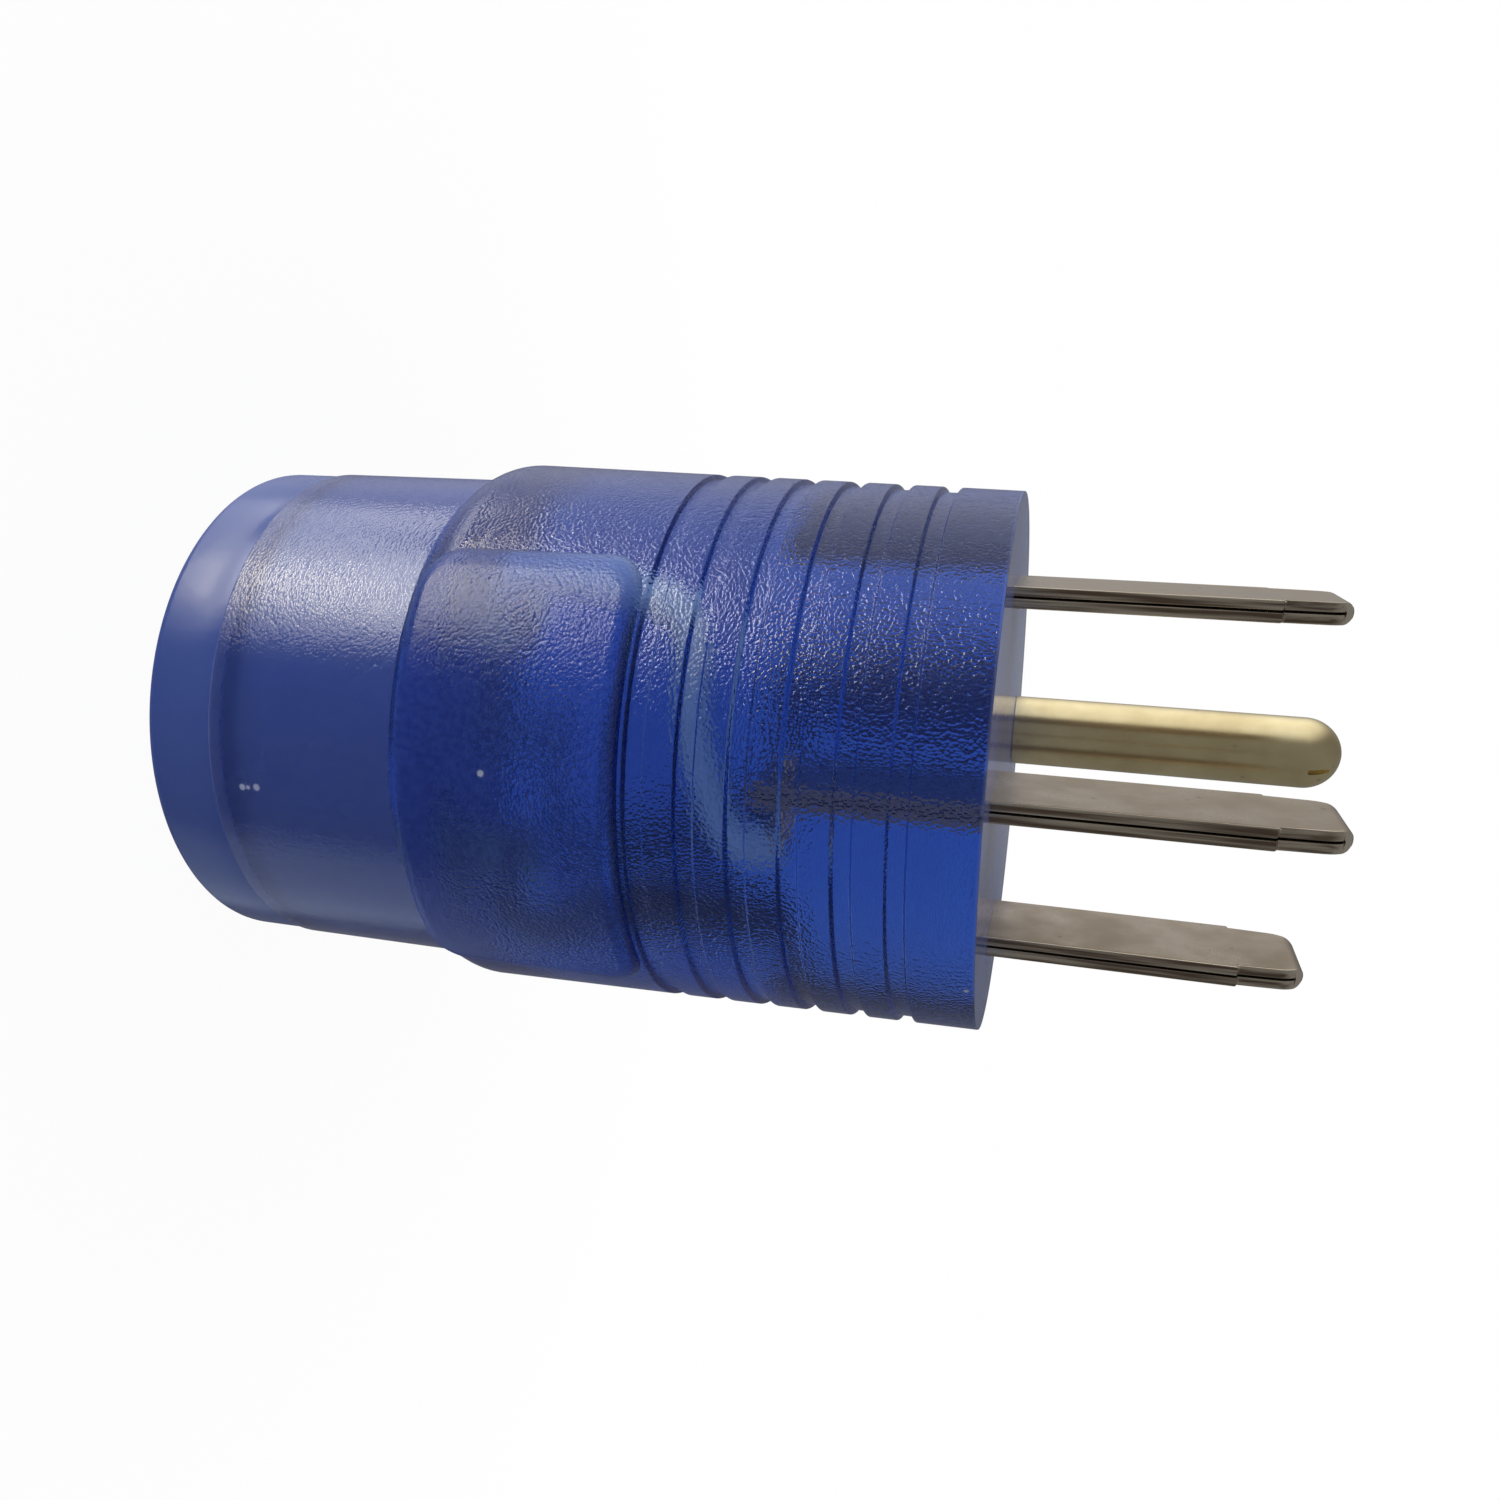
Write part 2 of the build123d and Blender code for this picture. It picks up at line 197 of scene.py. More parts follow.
def new_material(name):
    """A node material with a Principled shader, and a function that adds its other nodes and sets them."""
    material = bpy.data.materials.new(name)
    material.use_nodes = True
    tree = material.node_tree
    shader = tree.nodes["Principled BSDF"]

    def add(kind, operation=None, **sockets):
        node = tree.nodes.new(kind)
        if operation:
            node.operation = operation
        for socket, value in sockets.items():
            node.inputs[socket.replace("_", " ")].default_value = value
        return node
    return material, tree, shader, add


def colour_mix(add, first=None, second=None):
    """A Mix node for colours, with the ones given set on it."""
    mix = add("ShaderNodeMix")
    mix.data_type = "RGBA"
    for socket, colour in (("A", first), ("B", second)):
        if colour:
            mix.inputs[socket].default_value = (*colour, 1)
    return mix


def moulded_grain_group():
    """Fine pebbled skin of moulded plastic: pebbles on a slow ripple as a height for bump, and the ripple by
    itself as a mask for uneven gloss."""
    group = bpy.data.node_groups.new("moulded_grain", "ShaderNodeTree")
    socket = group.interface.new_socket
    socket("Grain Scale", in_out="INPUT", socket_type="NodeSocketFloat").default_value = 1500
    socket("Ripple Scale", in_out="INPUT", socket_type="NodeSocketFloat").default_value = 160
    socket("Height", in_out="OUTPUT", socket_type="NodeSocketFloat")
    socket("Gloss Mask", in_out="OUTPUT", socket_type="NodeSocketFloat")
    nodes, links = group.nodes, group.links
    given, put = nodes.new("NodeGroupInput"), nodes.new("NodeGroupOutput")
    where = nodes.new("ShaderNodeTexCoord")
    grain = nodes.new("ShaderNodeTexVoronoi")
    ripple = nodes.new("ShaderNodeTexNoise")
    ripple.inputs["Detail"].default_value = 1.5
    ripple_share = 0.25
    for noise, scale in ((grain, "Grain Scale"), (ripple, "Ripple Scale")):
        links.new(where.outputs["Object"], noise.inputs["Vector"])
        links.new(given.outputs[scale], noise.inputs["Scale"])
    pebbles = nodes.new("ShaderNodeMath")
    pebbles.operation = "MULTIPLY"
    for number in (0, 1):
        links.new(grain.outputs["Distance"], pebbles.inputs[number])
    total = nodes.new("ShaderNodeMath")
    total.operation = "MULTIPLY_ADD"
    total.inputs[1].default_value = ripple_share
    links.new(ripple.outputs["Fac"], total.inputs[0])
    links.new(pebbles.outputs["Value"], total.inputs[2])
    links.new(total.outputs["Value"], put.inputs["Height"])
    links.new(ripple.outputs["Fac"], put.inputs["Gloss Mask"])
    return group


moulded_grain = moulded_grain_group()


def grained(tree, shader, add, height, gloss, grain_scale=1500.0):
    """Gives a plastic its moulded skin: bump of this height, and roughness between the two gloss values."""
    skin = add("ShaderNodeGroup")
    skin.node_tree = moulded_grain
    skin.inputs["Grain Scale"].default_value = grain_scale
    skin.inputs["Ripple Scale"].default_value = 160.0
    bump = add("ShaderNodeBump", Strength=1.0, Distance=height)
    tree.links.new(skin.outputs["Height"], bump.inputs["Height"])
    tree.links.new(bump.outputs["Normal"], shader.inputs["Normal"])
    spread = add("ShaderNodeMapRange", From_Min=0.3, From_Max=0.7, To_Min=gloss[0], To_Max=gloss[1])
    tree.links.new(skin.outputs["Gloss Mask"], spread.inputs["Value"])
    tree.links.new(spread.outputs["Result"], shader.inputs["Roughness"])
    return skin


insert_plastic, tree, shader, add = new_material("insert_blue_plastic")
shader.inputs["IOR"].default_value = 1.5
shader.inputs["Specular IOR Level"].default_value = 0.3
shader.inputs["Subsurface Weight"].default_value = 0.4
shader.inputs["Subsurface Radius"].default_value = (0.5, 0.8, 2.0)
shader.inputs["Subsurface Scale"].default_value = 1.0 * mm
insert_skin = grained(tree, shader, add, 0.010 * mm, (0.20, 0.28), grain_scale=700.0)
insert_tone = colour_mix(add, (0.036, 0.066, 0.23), (0.046, 0.080, 0.27))
tree.links.new(insert_skin.outputs["Gloss Mask"], insert_tone.inputs["Factor"])
where = add("ShaderNodeTexCoord")
place = add("ShaderNodeSeparateXYZ")
core_part = add("ShaderNodeMapRange", From_Min=lip_top, From_Max=lip_top + 0.2 * mm, To_Min=0.0, To_Max=1.0)
insert_shade = colour_mix(add, first=(0.068, 0.120, 0.42))
tree.links.new(where.outputs["Object"], place.inputs["Vector"])
tree.links.new(place.outputs["Z"], core_part.inputs["Value"])
tree.links.new(core_part.outputs["Result"], insert_shade.inputs["Factor"])
tree.links.new(insert_tone.outputs["Result"], insert_shade.inputs["B"])
tree.links.new(insert_shade.outputs["Result"], shader.inputs["Base Color"])
socket_insert.data.materials.clear()
socket_insert.data.materials.append(insert_plastic)
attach(socket_insert, "root")
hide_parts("socket_insert")

# Spring contacts: bent from brass strip, pressed into the insert's pockets from above. Their flared mouths
# show through the slots and the ground hole, and their tails stand up into the body for the wires.
contact_smoothing = 30


def smooth_copy(name, node, angle):
    """A copy of a CAD node with its loose triangles merged and its rounds shaded smooth."""
    piece = bpy.data.objects.new(name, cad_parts[node].data.copy())
    bpy.context.scene.collection.objects.link(piece)
    pick(piece)
    bpy.ops.object.mode_set(mode="EDIT")
    bpy.ops.mesh.select_all(action="SELECT")
    bpy.ops.mesh.remove_doubles(threshold=merge_distance)
    bpy.ops.object.mode_set(mode="OBJECT")
    smooth(piece, angle)
    piece.data.materials.clear()
    return piece


def metal_wear_group():
    """Handled metal: fine lines drawn along Z, small specks here and there, and broad soft smears."""
    group = bpy.data.node_groups.new("handled_metal", "ShaderNodeTree")
    socket = group.interface.new_socket
    socket("Line Scale", in_out="INPUT", socket_type="NodeSocketFloat").default_value = 2500
    socket("Speck Scale", in_out="INPUT", socket_type="NodeSocketFloat").default_value = 500
    for name in ("Lines", "Specks", "Smears"):
        socket(name, in_out="OUTPUT", socket_type="NodeSocketFloat")
    line_stretch = (1.0, 1.0, 0.03)
    rare_speck = 0.93
    nodes, links = group.nodes, group.links
    given, put = nodes.new("NodeGroupInput"), nodes.new("NodeGroupOutput")
    where = nodes.new("ShaderNodeTexCoord")
    stretch = nodes.new("ShaderNodeMapping")
    stretch.inputs["Scale"].default_value = line_stretch
    links.new(where.outputs["Object"], stretch.inputs["Vector"])
    lines = nodes.new("ShaderNodeTexNoise")
    lines.inputs["Detail"].default_value = 3.0
    links.new(stretch.outputs["Vector"], lines.inputs["Vector"])
    links.new(given.outputs["Line Scale"], lines.inputs["Scale"])
    links.new(lines.outputs["Fac"], put.inputs["Lines"])
    specks = nodes.new("ShaderNodeTexVoronoi")
    links.new(where.outputs["Object"], specks.inputs["Vector"])
    links.new(given.outputs["Speck Scale"], specks.inputs["Scale"])
    small = nodes.new("ShaderNodeMapRange")
    for socket_name, value in (("From Min", 0.06), ("From Max", 0.26), ("To Min", 0.8), ("To Max", 0.0)):
        small.inputs[socket_name].default_value = value
    links.new(specks.outputs["Distance"], small.inputs["Value"])
    few = nodes.new("ShaderNodeMath")
    few.operation = "GREATER_THAN"
    few.inputs[1].default_value = rare_speck
    split = nodes.new("ShaderNodeSeparateColor")
    links.new(specks.outputs["Color"], split.inputs["Color"])
    links.new(split.outputs["Red"], few.inputs[0])
    kept = nodes.new("ShaderNodeMath")
    kept.operation = "MULTIPLY"
    links.new(small.outputs["Result"], kept.inputs[0])
    links.new(few.outputs["Value"], kept.inputs[1])
    links.new(kept.outputs["Value"], put.inputs["Specks"])
    smears = nodes.new("ShaderNodeTexNoise")
    smears.inputs["Scale"].default_value = 220.0
    smears.inputs["Detail"].default_value = 3.0
    links.new(where.outputs["Object"], smears.inputs["Vector"])
    links.new(smears.outputs["Fac"], put.inputs["Smears"])
    return group


handled_metal = metal_wear_group()


def metal_finish(name, clean, smeared, speck, roughness, line_height, painted_shade_below=None, edge=None):
    """A metal whose colour runs between two tones, with dark specks and drawn lines. It can have painted
    shade, a darker tone where the body covers it, and sheared edges facing along X: streaked dark, with a
    painted highlight along their corners."""
    painted_corner_highlight = (0.97, 0.88, 0.72)
    covered = body_high.z - 0.3 * mm
    material, tree, shader, add = new_material(name)
    shader.inputs["Metallic"].default_value = 1.0
    wear = add("ShaderNodeGroup")
    wear.node_tree = handled_metal
    wear.inputs["Line Scale"].default_value = 2500.0
    wear.inputs["Speck Scale"].default_value = 900.0
    tone = colour_mix(add, clean, smeared)
    spread = add("ShaderNodeMapRange", From_Min=0.35, From_Max=0.65, To_Min=0.0, To_Max=1.0)
    tree.links.new(wear.outputs["Smears"], spread.inputs["Value"])
    tree.links.new(spread.outputs["Result"], tone.inputs["Factor"])
    specked = colour_mix(add, second=speck)
    tree.links.new(tone.outputs["Result"], specked.inputs["A"])
    tree.links.new(wear.outputs["Specks"], specked.inputs["Factor"])
    shown = specked.outputs["Result"]
    if edge:
        where = add("ShaderNodeTexCoord")
        facing = add("ShaderNodeSeparateXYZ")
        sideways = add("ShaderNodeMath", "ABSOLUTE")
        sheared = add("ShaderNodeMapRange", From_Min=0.80, From_Max=0.98, To_Min=0.0, To_Max=1.0)
        streaks = add("ShaderNodeMapRange", From_Min=0.38, From_Max=0.60, To_Min=0.35, To_Max=1.0)
        edge_share = add("ShaderNodeMath", "MULTIPLY")
        # Painted highlight: a bright cream tone on the bevels, where the normal turns from the face towards
        # X.
        corner_highlight_mask = add("ShaderNodeMapRange", From_Min=0.20, From_Max=0.45, To_Min=0.0, To_Max=0.9)
        corner_highlighted = colour_mix(add, second=painted_corner_highlight)
        streaked = colour_mix(add, second=edge)
        tree.links.new(where.outputs["Normal"], facing.inputs["Vector"])
        tree.links.new(facing.outputs["X"], sideways.inputs[0])
        tree.links.new(sideways.outputs["Value"], sheared.inputs["Value"])
        tree.links.new(wear.outputs["Lines"], streaks.inputs["Value"])
        tree.links.new(sheared.outputs["Result"], edge_share.inputs[0])
        tree.links.new(streaks.outputs["Result"], edge_share.inputs[1])
        tree.links.new(sideways.outputs["Value"], corner_highlight_mask.inputs["Value"])
        tree.links.new(corner_highlight_mask.outputs["Result"], corner_highlighted.inputs["Factor"])
        tree.links.new(shown, corner_highlighted.inputs["A"])
        tree.links.new(corner_highlighted.outputs["Result"], streaked.inputs["A"])
        tree.links.new(edge_share.outputs["Value"], streaked.inputs["Factor"])
        shown = streaked.outputs["Result"]
    # Painted shade: below the body's top face the colour runs to a darker tone, where the body covers the
    # metal.
    if painted_shade_below:
        where = add("ShaderNodeTexCoord")
        place = add("ShaderNodeSeparateXYZ")
        depth = add("ShaderNodeMapRange", From_Min=covered, From_Max=body_high.z, To_Min=1.0, To_Max=0.0)
        shaded_below_face = colour_mix(add, second=painted_shade_below)
        tree.links.new(where.outputs["Object"], place.inputs["Vector"])
        tree.links.new(place.outputs["Z"], depth.inputs["Value"])
        tree.links.new(depth.outputs["Result"], shaded_below_face.inputs["Factor"])
        tree.links.new(shown, shaded_below_face.inputs["A"])
        shown = shaded_below_face.outputs["Result"]
    tree.links.new(shown, shader.inputs["Base Color"])
    gloss = add("ShaderNodeMapRange", From_Min=0.3, From_Max=0.7, To_Min=roughness[0], To_Max=roughness[1])
    tree.links.new(wear.outputs["Smears"], gloss.inputs["Value"])
    tree.links.new(gloss.outputs["Result"], shader.inputs["Roughness"])
    bump = add("ShaderNodeBump", Strength=1.0, Distance=line_height)
    tree.links.new(wear.outputs["Lines"], bump.inputs["Height"])
    tree.links.new(bump.outputs["Normal"], shader.inputs["Normal"])
    return material


contact_brass = metal_finish("contact_brass", (0.66, 0.47, 0.20), (0.52, 0.36, 0.15), (0.12, 0.08, 0.03),
                             (0.28, 0.42), 0.004 * mm)
for wire in ("line", "neutral", "ground"):
    contact = smooth_copy(f"{wire}_contact_strip", f"{wire}_contact", contact_smoothing)
    contact.data.materials.append(contact_brass)
    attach(contact, "root")
    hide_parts(f"{wire}_contact")

# Flat blades: nickel-plated strip folded double at the tip, stamped narrower over the last few millimetres.
# The fold's seam runs down both edges, and the shank is moulded into the body.
blade_seam = 0.12 * mm
blade_tip_length = 5.8 * mm
blade_tip_step = 0.45 * mm
blade_tip_taper = 0.35 * mm
blade_tip_corner = 2.4 * mm
blade_hole_height = 2.4 * mm
blade_hole_radius = 1.1 * mm
blade_edge = 0.22 * mm
blade_smoothing = 30
stamp_overrun = 0.2 * mm
fold_steps = 16


def folded_blade(name, node):
    """One layer of strip, spun over at the tip, run back down, then stamped to the tip's plan."""
    low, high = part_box(node)
    centre = (low + high) / 2
    half = (high.y - low.y) / 2
    fold = high.z - half
    layer = half - blade_seam / 2
    blade = block((high.x - low.x, layer, fold - low.z),
                  (centre.x, centre.y + half - layer / 2, (fold + low.z) / 2))
    blade.name = blade.data.name = name
    bpy.ops.object.mode_set(mode="EDIT")
    bpy.ops.mesh.select_mode(type="FACE")
    bpy.ops.mesh.select_all(action="DESELECT")
    bpy.ops.object.mode_set(mode="OBJECT")
    for face in blade.data.polygons:
        face.select = face.normal.z > 0.9
    bpy.ops.object.mode_set(mode="EDIT")
    bpy.ops.mesh.spin(steps=fold_steps, angle=pi, center=(centre.x, centre.y, fold), axis=(-1, 0, 0))
    bpy.ops.mesh.extrude_region_move(TRANSFORM_OT_translate={"value": (0, 0, low.z - fold)})
    close_mesh()

    side = (high.x - low.x) / 2
    tip_side = side - blade_tip_step
    tip_end = tip_side - blade_tip_taper
    tip_start = high.z - blade_tip_length
    stamp_top = high.z + stamp_overrun
    plan = [(-side, low.z), (side, low.z), (side, tip_start), (tip_side, tip_start), (tip_end, stamp_top),
            (-tip_end, stamp_top), (-tip_side, tip_start), (-side, tip_start)]
    stamp = first_point((centre.x + plan[0][0], centre.y - 2 * half, plan[0][1]))
    for before, after in zip(plan, plan[1:]):
        bpy.ops.mesh.extrude_vertices_move(
            TRANSFORM_OT_translate={"value": (after[0] - before[0], 0, after[1] - before[1])})
    bpy.ops.mesh.select_all(action="SELECT")
    bpy.ops.mesh.edge_face_add()
    bpy.ops.mesh.select_all(action="DESELECT")
    bpy.ops.object.mode_set(mode="OBJECT")
    for vertex in stamp.data.vertices:
        vertex.select = vertex.co.z > stamp_top - blade_tip_step
    bpy.ops.object.mode_set(mode="EDIT")
    bpy.ops.mesh.bevel(offset=blade_tip_corner, segments=8, affect="VERTICES")
    bpy.ops.mesh.select_all(action="SELECT")
    bpy.ops.mesh.extrude_region_move(TRANSFORM_OT_translate={"value": (0, 4 * half, 0)})
    close_mesh()
    combine(blade, stamp, "INTERSECT")

    bpy.ops.object.select_all(action="DESELECT")
    bpy.ops.mesh.primitive_cylinder_add(vertices=32, radius=blade_hole_radius, depth=4 * half,
                                        location=(centre.x, centre.y, low.z + blade_hole_height),
                                        rotation=(radians(90), 0, 0))
    bpy.ops.object.transform_apply(location=True, rotation=True, scale=True)
    combine(blade, bpy.context.object, "DIFFERENCE")
    round_edges(blade, blade_edge)
    smooth(blade, blade_smoothing)
    blade.data.materials.clear()
    return blade


# The tone given for below the body's face is painted shade, where the body covers the shanks.
nickel_plate = metal_finish("nickel_plate", (0.55, 0.46, 0.365), (0.42, 0.34, 0.25), (0.16, 0.12, 0.08),
                            (0.24, 0.36), 0.006 * mm, painted_shade_below=(0.15, 0.105, 0.085), edge=(0.20, 0.145, 0.105))
for wire in ("line", "spare", "neutral"):
    blade = folded_blade(f"{wire}_blade_strip", f"{wire}_blade")
    blade.data.materials.append(nickel_plate)
    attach(blade, "root")
    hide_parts(f"{wire}_blade")

# Ground pin: a brass tube rolled from strip, its end pressed to a dome with a gap left in it. The seam is
# closed and polished away, and a flattened tail below the body's face takes the wire.
pin_low, pin_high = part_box("ground_pin")
pin_centre = (pin_low + pin_high) / 2
pin_radius = 3.6 * mm
pin_shank_radius = 3.2 * mm
pin_wall = 1.1 * mm
pin_dome = pin_high.z - pin_radius
pin_shank_start = body_high.z - 17.0 * mm
pin_gap = 0.5 * mm
pin_gap_turn = radians(21)
pin_gap_low = pin_dome + 0.2 * mm
pin_gap_high = pin_dome + 3.1 * mm
pin_gap_reach = pin_wall + 1.0 * mm
pin_tail_width = 2 * pin_shank_radius - 0.4 * mm
pin_tail_top = pin_shank_start + pin_wall
pin_edge = 0.06 * mm
pin_smoothing = 30

ground_pin = turned_piece("ground_pin_tube", (0, pin_shank_start), [
    (pin_shank_radius, pin_shank_start),
    (pin_shank_radius, body_high.z),
    (pin_radius, body_high.z),
    (pin_radius, pin_dome),
    (0, pin_dome, radians(90)),
], turns=96, arc_steps=16)
bpy.ops.object.mode_set(mode="EDIT")
bpy.ops.mesh.select_all(action="SELECT")
bpy.ops.transform.translate(value=(pin_centre.x, 0, 0))
bpy.ops.object.mode_set(mode="OBJECT")
gap_middle = pin_radius - pin_wall + pin_gap_reach / 2
gap_place = (pin_centre.x + gap_middle * cos(pin_gap_turn), gap_middle * sin(pin_gap_turn),
             (pin_gap_low + pin_gap_high) / 2)
gap_cut = block((pin_gap_reach, pin_gap, pin_gap_high - pin_gap_low), gap_place, pin_gap_turn)
combine(ground_pin, gap_cut, "DIFFERENCE")
pin_tail = block((pin_tail_width, 2 * pin_wall, pin_tail_top - pin_low.z),
                 (pin_centre.x, 0, (pin_tail_top + pin_low.z) / 2))
combine(ground_pin, pin_tail, "UNION")
round_edges(ground_pin, pin_edge)
smooth(ground_pin, pin_smoothing)
# The tone given for below the body's face is painted shade, where the body covers the pin.
pin_brass = metal_finish("pin_brass", (0.92, 0.79, 0.47), (0.78, 0.64, 0.36), (0.50, 0.39, 0.22),
                         (0.20, 0.28), 0.003 * mm, painted_shade_below=(0.34, 0.30, 0.24))
ground_pin.data.materials.clear()
ground_pin.data.materials.append(pin_brass)
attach(ground_pin, "root")
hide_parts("ground_pin")

# Wires: stripped copper soldered through the blades' holes and the contacts' tails, in a white jacket for the
# neutral, black for the line and green for the ground. They lie where the plastic was moulded round them.
copper = metal_finish("wire_copper", (0.80, 0.42, 0.26), (0.66, 0.32, 0.18), (0.20, 0.09, 0.05),
                      (0.25, 0.40), 0.010 * mm)
jacket_colours = {
    "line": (0.06, 0.06, 0.065),
    "neutral": (0.66, 0.65, 0.63),
    "ground": (0.03, 0.22, 0.07),
}
jacket_shade = 0.85
wire_smoothing = 40
for wire, colour in jacket_colours.items():
    wire_core = smooth_copy(f"{wire}_wire_strands", f"{wire}_wire_core", wire_smoothing)
    wire_core.data.materials.append(copper)
    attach(wire_core, "root")
    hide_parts(f"{wire}_wire_core")
    wire_jacket = smooth_copy(f"{wire}_wire_sleeve", f"{wire}_wire_jacket", wire_smoothing)
    jacket_plastic, tree, shader, add = new_material(f"{wire}_jacket_plastic")
    jacket_skin = grained(tree, shader, add, 0.01 * mm, (0.4, 0.55))
    jacket_tone = colour_mix(add, [jacket_shade * part for part in colour], colour)
    tree.links.new(jacket_skin.outputs["Gloss Mask"], jacket_tone.inputs["Factor"])
    tree.links.new(jacket_tone.outputs["Result"], shader.inputs["Base Color"])
    wire_jacket.data.materials.append(jacket_plastic)
    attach(wire_jacket, "root")
    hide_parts(f"{wire}_wire_jacket")

# Moulded body: clear royal-blue plastic moulded in one shot round the insert, wires and prongs. Its skin is
# pebbled, faintly on the barrel, and hazy on the two finger pads. Only the prong face is nearly smooth.
barrel_radius = 24.8 * mm
barrel_end = 25.4 * mm
barrel_chamfer = 0.3 * mm
shoulder_radius = 26.4 * mm
shoulder_round = 5.5 * mm
face_radius = 25.5 * mm
body_top = body_high.z
shoulder_angle = acos(1 - (shoulder_radius - barrel_radius) / shoulder_round)
shoulder_height = barrel_end + shoulder_round * sin(shoulder_angle)
groove_count = 6
groove_pitch = 4.4 * mm
groove_width = 1.8 * mm
groove_floor = 1.4 * mm
groove_depth = 0.5 * mm
collar_length = 5.7 * mm
first_groove = body_top - collar_length - groove_width / 2
pad_radius = body_high.x
pad_width = 39.0 * mm
pad_height = 20.6 * mm
pad_corner = 3.4 * mm
pad_edge = 1.5 * mm
pad_depth = 12.0 * mm
pad_groove_gap = 0.3 * mm
pad_top = first_groove - (groove_count - 1) * groove_pitch - groove_width / 2 - pad_groove_gap
pad_bottom = pad_top - pad_height
pad_columns = 60
body_edge = 0.08 * mm
body_edge_angle = 18
body_smoothing = 32


def skin_radius(height):
    """Radius of the tapered body at a height above the shoulder."""
    share = (body_top - height) / (body_top - shoulder_height)
    return face_radius + (shoulder_radius - face_radius) * share


grip_outline = []
for number in reversed(range(groove_count)):
    height = first_groove - number * groove_pitch
    grip_outline += [
        (skin_radius(height - groove_width / 2), height - groove_width / 2),
        (skin_radius(height) - groove_depth, height - groove_floor / 2),
        (skin_radius(height) - groove_depth, height + groove_floor / 2),
        (skin_radius(height + groove_width / 2), height + groove_width / 2),
    ]
moulded_body = turned_piece("moulded_body_clear", (0, lip_top), [
    (barrel_radius - barrel_chamfer, lip_top),
    (barrel_radius, lip_top + barrel_chamfer),
    (barrel_radius, barrel_end),
    (shoulder_radius - shoulder_round, shoulder_height, shoulder_angle),
    *grip_outline,
    (face_radius, body_top),
    (0, body_top),
])
round_edges(moulded_body, body_edge, body_edge_angle)


def finger_pad(side):
    """A plate with rounded corners and a rounded outer edge, bowed to the pad's radius on one side."""
    pad = block((pad_depth, pad_width, pad_height),
                (pad_radius - pad_depth / 2, 0, (pad_bottom + pad_top) / 2))
    bpy.ops.object.mode_set(mode="EDIT")
    bpy.ops.mesh.select_mode(type="EDGE")
    bpy.ops.mesh.select_all(action="DESELECT")
    bpy.ops.object.mode_set(mode="OBJECT")
    points = pad.data.vertices
    for edge in pad.data.edges:
        start, end = (points[index].co for index in edge.vertices)
        edge.select = abs(end.x - start.x) > pad_depth / 2
    bpy.ops.object.mode_set(mode="EDIT")
    bpy.ops.mesh.bevel(offset=pad_corner, segments=10, affect="EDGES")
    bpy.ops.mesh.select_all(action="DESELECT")
    bpy.ops.object.mode_set(mode="OBJECT")
    outer_face = pad_radius - 0.01 * mm
    for edge in pad.data.edges:
        start, end = (points[index].co for index in edge.vertices)
        edge.select = min(start.x, end.x) > outer_face
    bpy.ops.object.mode_set(mode="EDIT")
    bpy.ops.mesh.bevel(offset=pad_edge, segments=6, affect="EDGES")
    for column in range(1, pad_columns):
        bpy.ops.mesh.select_all(action="SELECT")
        bpy.ops.mesh.bisect(plane_co=(0, pad_width * (column / pad_columns - 0.5), 0), plane_no=(0, 1, 0))
    bpy.ops.mesh.select_all(action="SELECT")
    bpy.ops.mesh.remove_doubles(threshold=merge_distance)
    bpy.ops.object.mode_set(mode="OBJECT")
    for point in points:
        point.co.x += sqrt(pad_radius ** 2 - point.co.y ** 2) - pad_radius
        if side < 0:
            point.co.x, point.co.y = -point.co.x, -point.co.y
    return pad


for side in (1, -1):
    combine(moulded_body, finger_pad(side), "UNION")
smooth(moulded_body, body_smoothing)

pebble_scale = 3200.0
pebble_depth = 0.055 * mm
barrel_pebbles, ring_pebbles, face_pebbles = 0.4, 1.0, 0.12
face_band = {"From_Min": body_top - 0.3 * mm, "From_Max": body_top - 0.1 * mm}
pad_band = {"From_Min": 26.45 * mm, "From_Max": 26.9 * mm}
pale_band_low = lip_top + 0.15 * mm
pale_band_high = lip_top + 0.5 * mm
pale_band_share = 0.45
scuff_share = 0.8
scuffs = (
    ((24.66, 2.62, 10.2), 0.46),
    ((24.66, 2.60, 10.8), 0.30),
    ((24.66, 2.50, 11.7), 0.50),
    ((27.25, -1.67, 35.5), 0.42),
    ((20.6, 15.0, 76.3), 0.35),
)
face_haze_share = 0.22
body_haze_share, pad_haze_share = 0.13, 0.36

clear_blue, tree, shader, add = new_material("clear_blue_plastic")
shader.inputs["Base Color"].default_value = (0.95, 0.96, 1.0, 1)
shader.inputs["IOR"].default_value = 1.5
shader.inputs["Transmission Weight"].default_value = 1.0
skin = add("ShaderNodeGroup")
skin.node_tree = moulded_grain
skin.inputs["Grain Scale"].default_value = pebble_scale
skin.inputs["Ripple Scale"].default_value = 260.0
bump = add("ShaderNodeBump", Strength=1.0, Distance=pebble_depth)
bump.invert = True
tree.links.new(skin.outputs["Height"], bump.inputs["Height"])
tree.links.new(bump.outputs["Normal"], shader.inputs["Normal"])
where = add("ShaderNodeTexCoord")
place = add("ShaderNodeSeparateXYZ")
tree.links.new(where.outputs["Object"], place.inputs["Vector"])
coarse = add("ShaderNodeMapRange", From_Min=barrel_end, From_Max=pad_top,
             To_Min=barrel_pebbles, To_Max=ring_pebbles)
face_skin = add("ShaderNodeMapRange", **face_band, To_Min=1.0, To_Max=face_pebbles)
pebbled = add("ShaderNodeMath", "MULTIPLY")
tree.links.new(place.outputs["Z"], coarse.inputs["Value"])
tree.links.new(place.outputs["Z"], face_skin.inputs["Value"])
tree.links.new(coarse.outputs["Result"], pebbled.inputs[0])
tree.links.new(face_skin.outputs["Result"], pebbled.inputs[1])
tree.links.new(pebbled.outputs["Value"], bump.inputs["Strength"])
flat = add("ShaderNodeVectorMath", "MULTIPLY")
flat.inputs[1].default_value = (1, 1, 0)
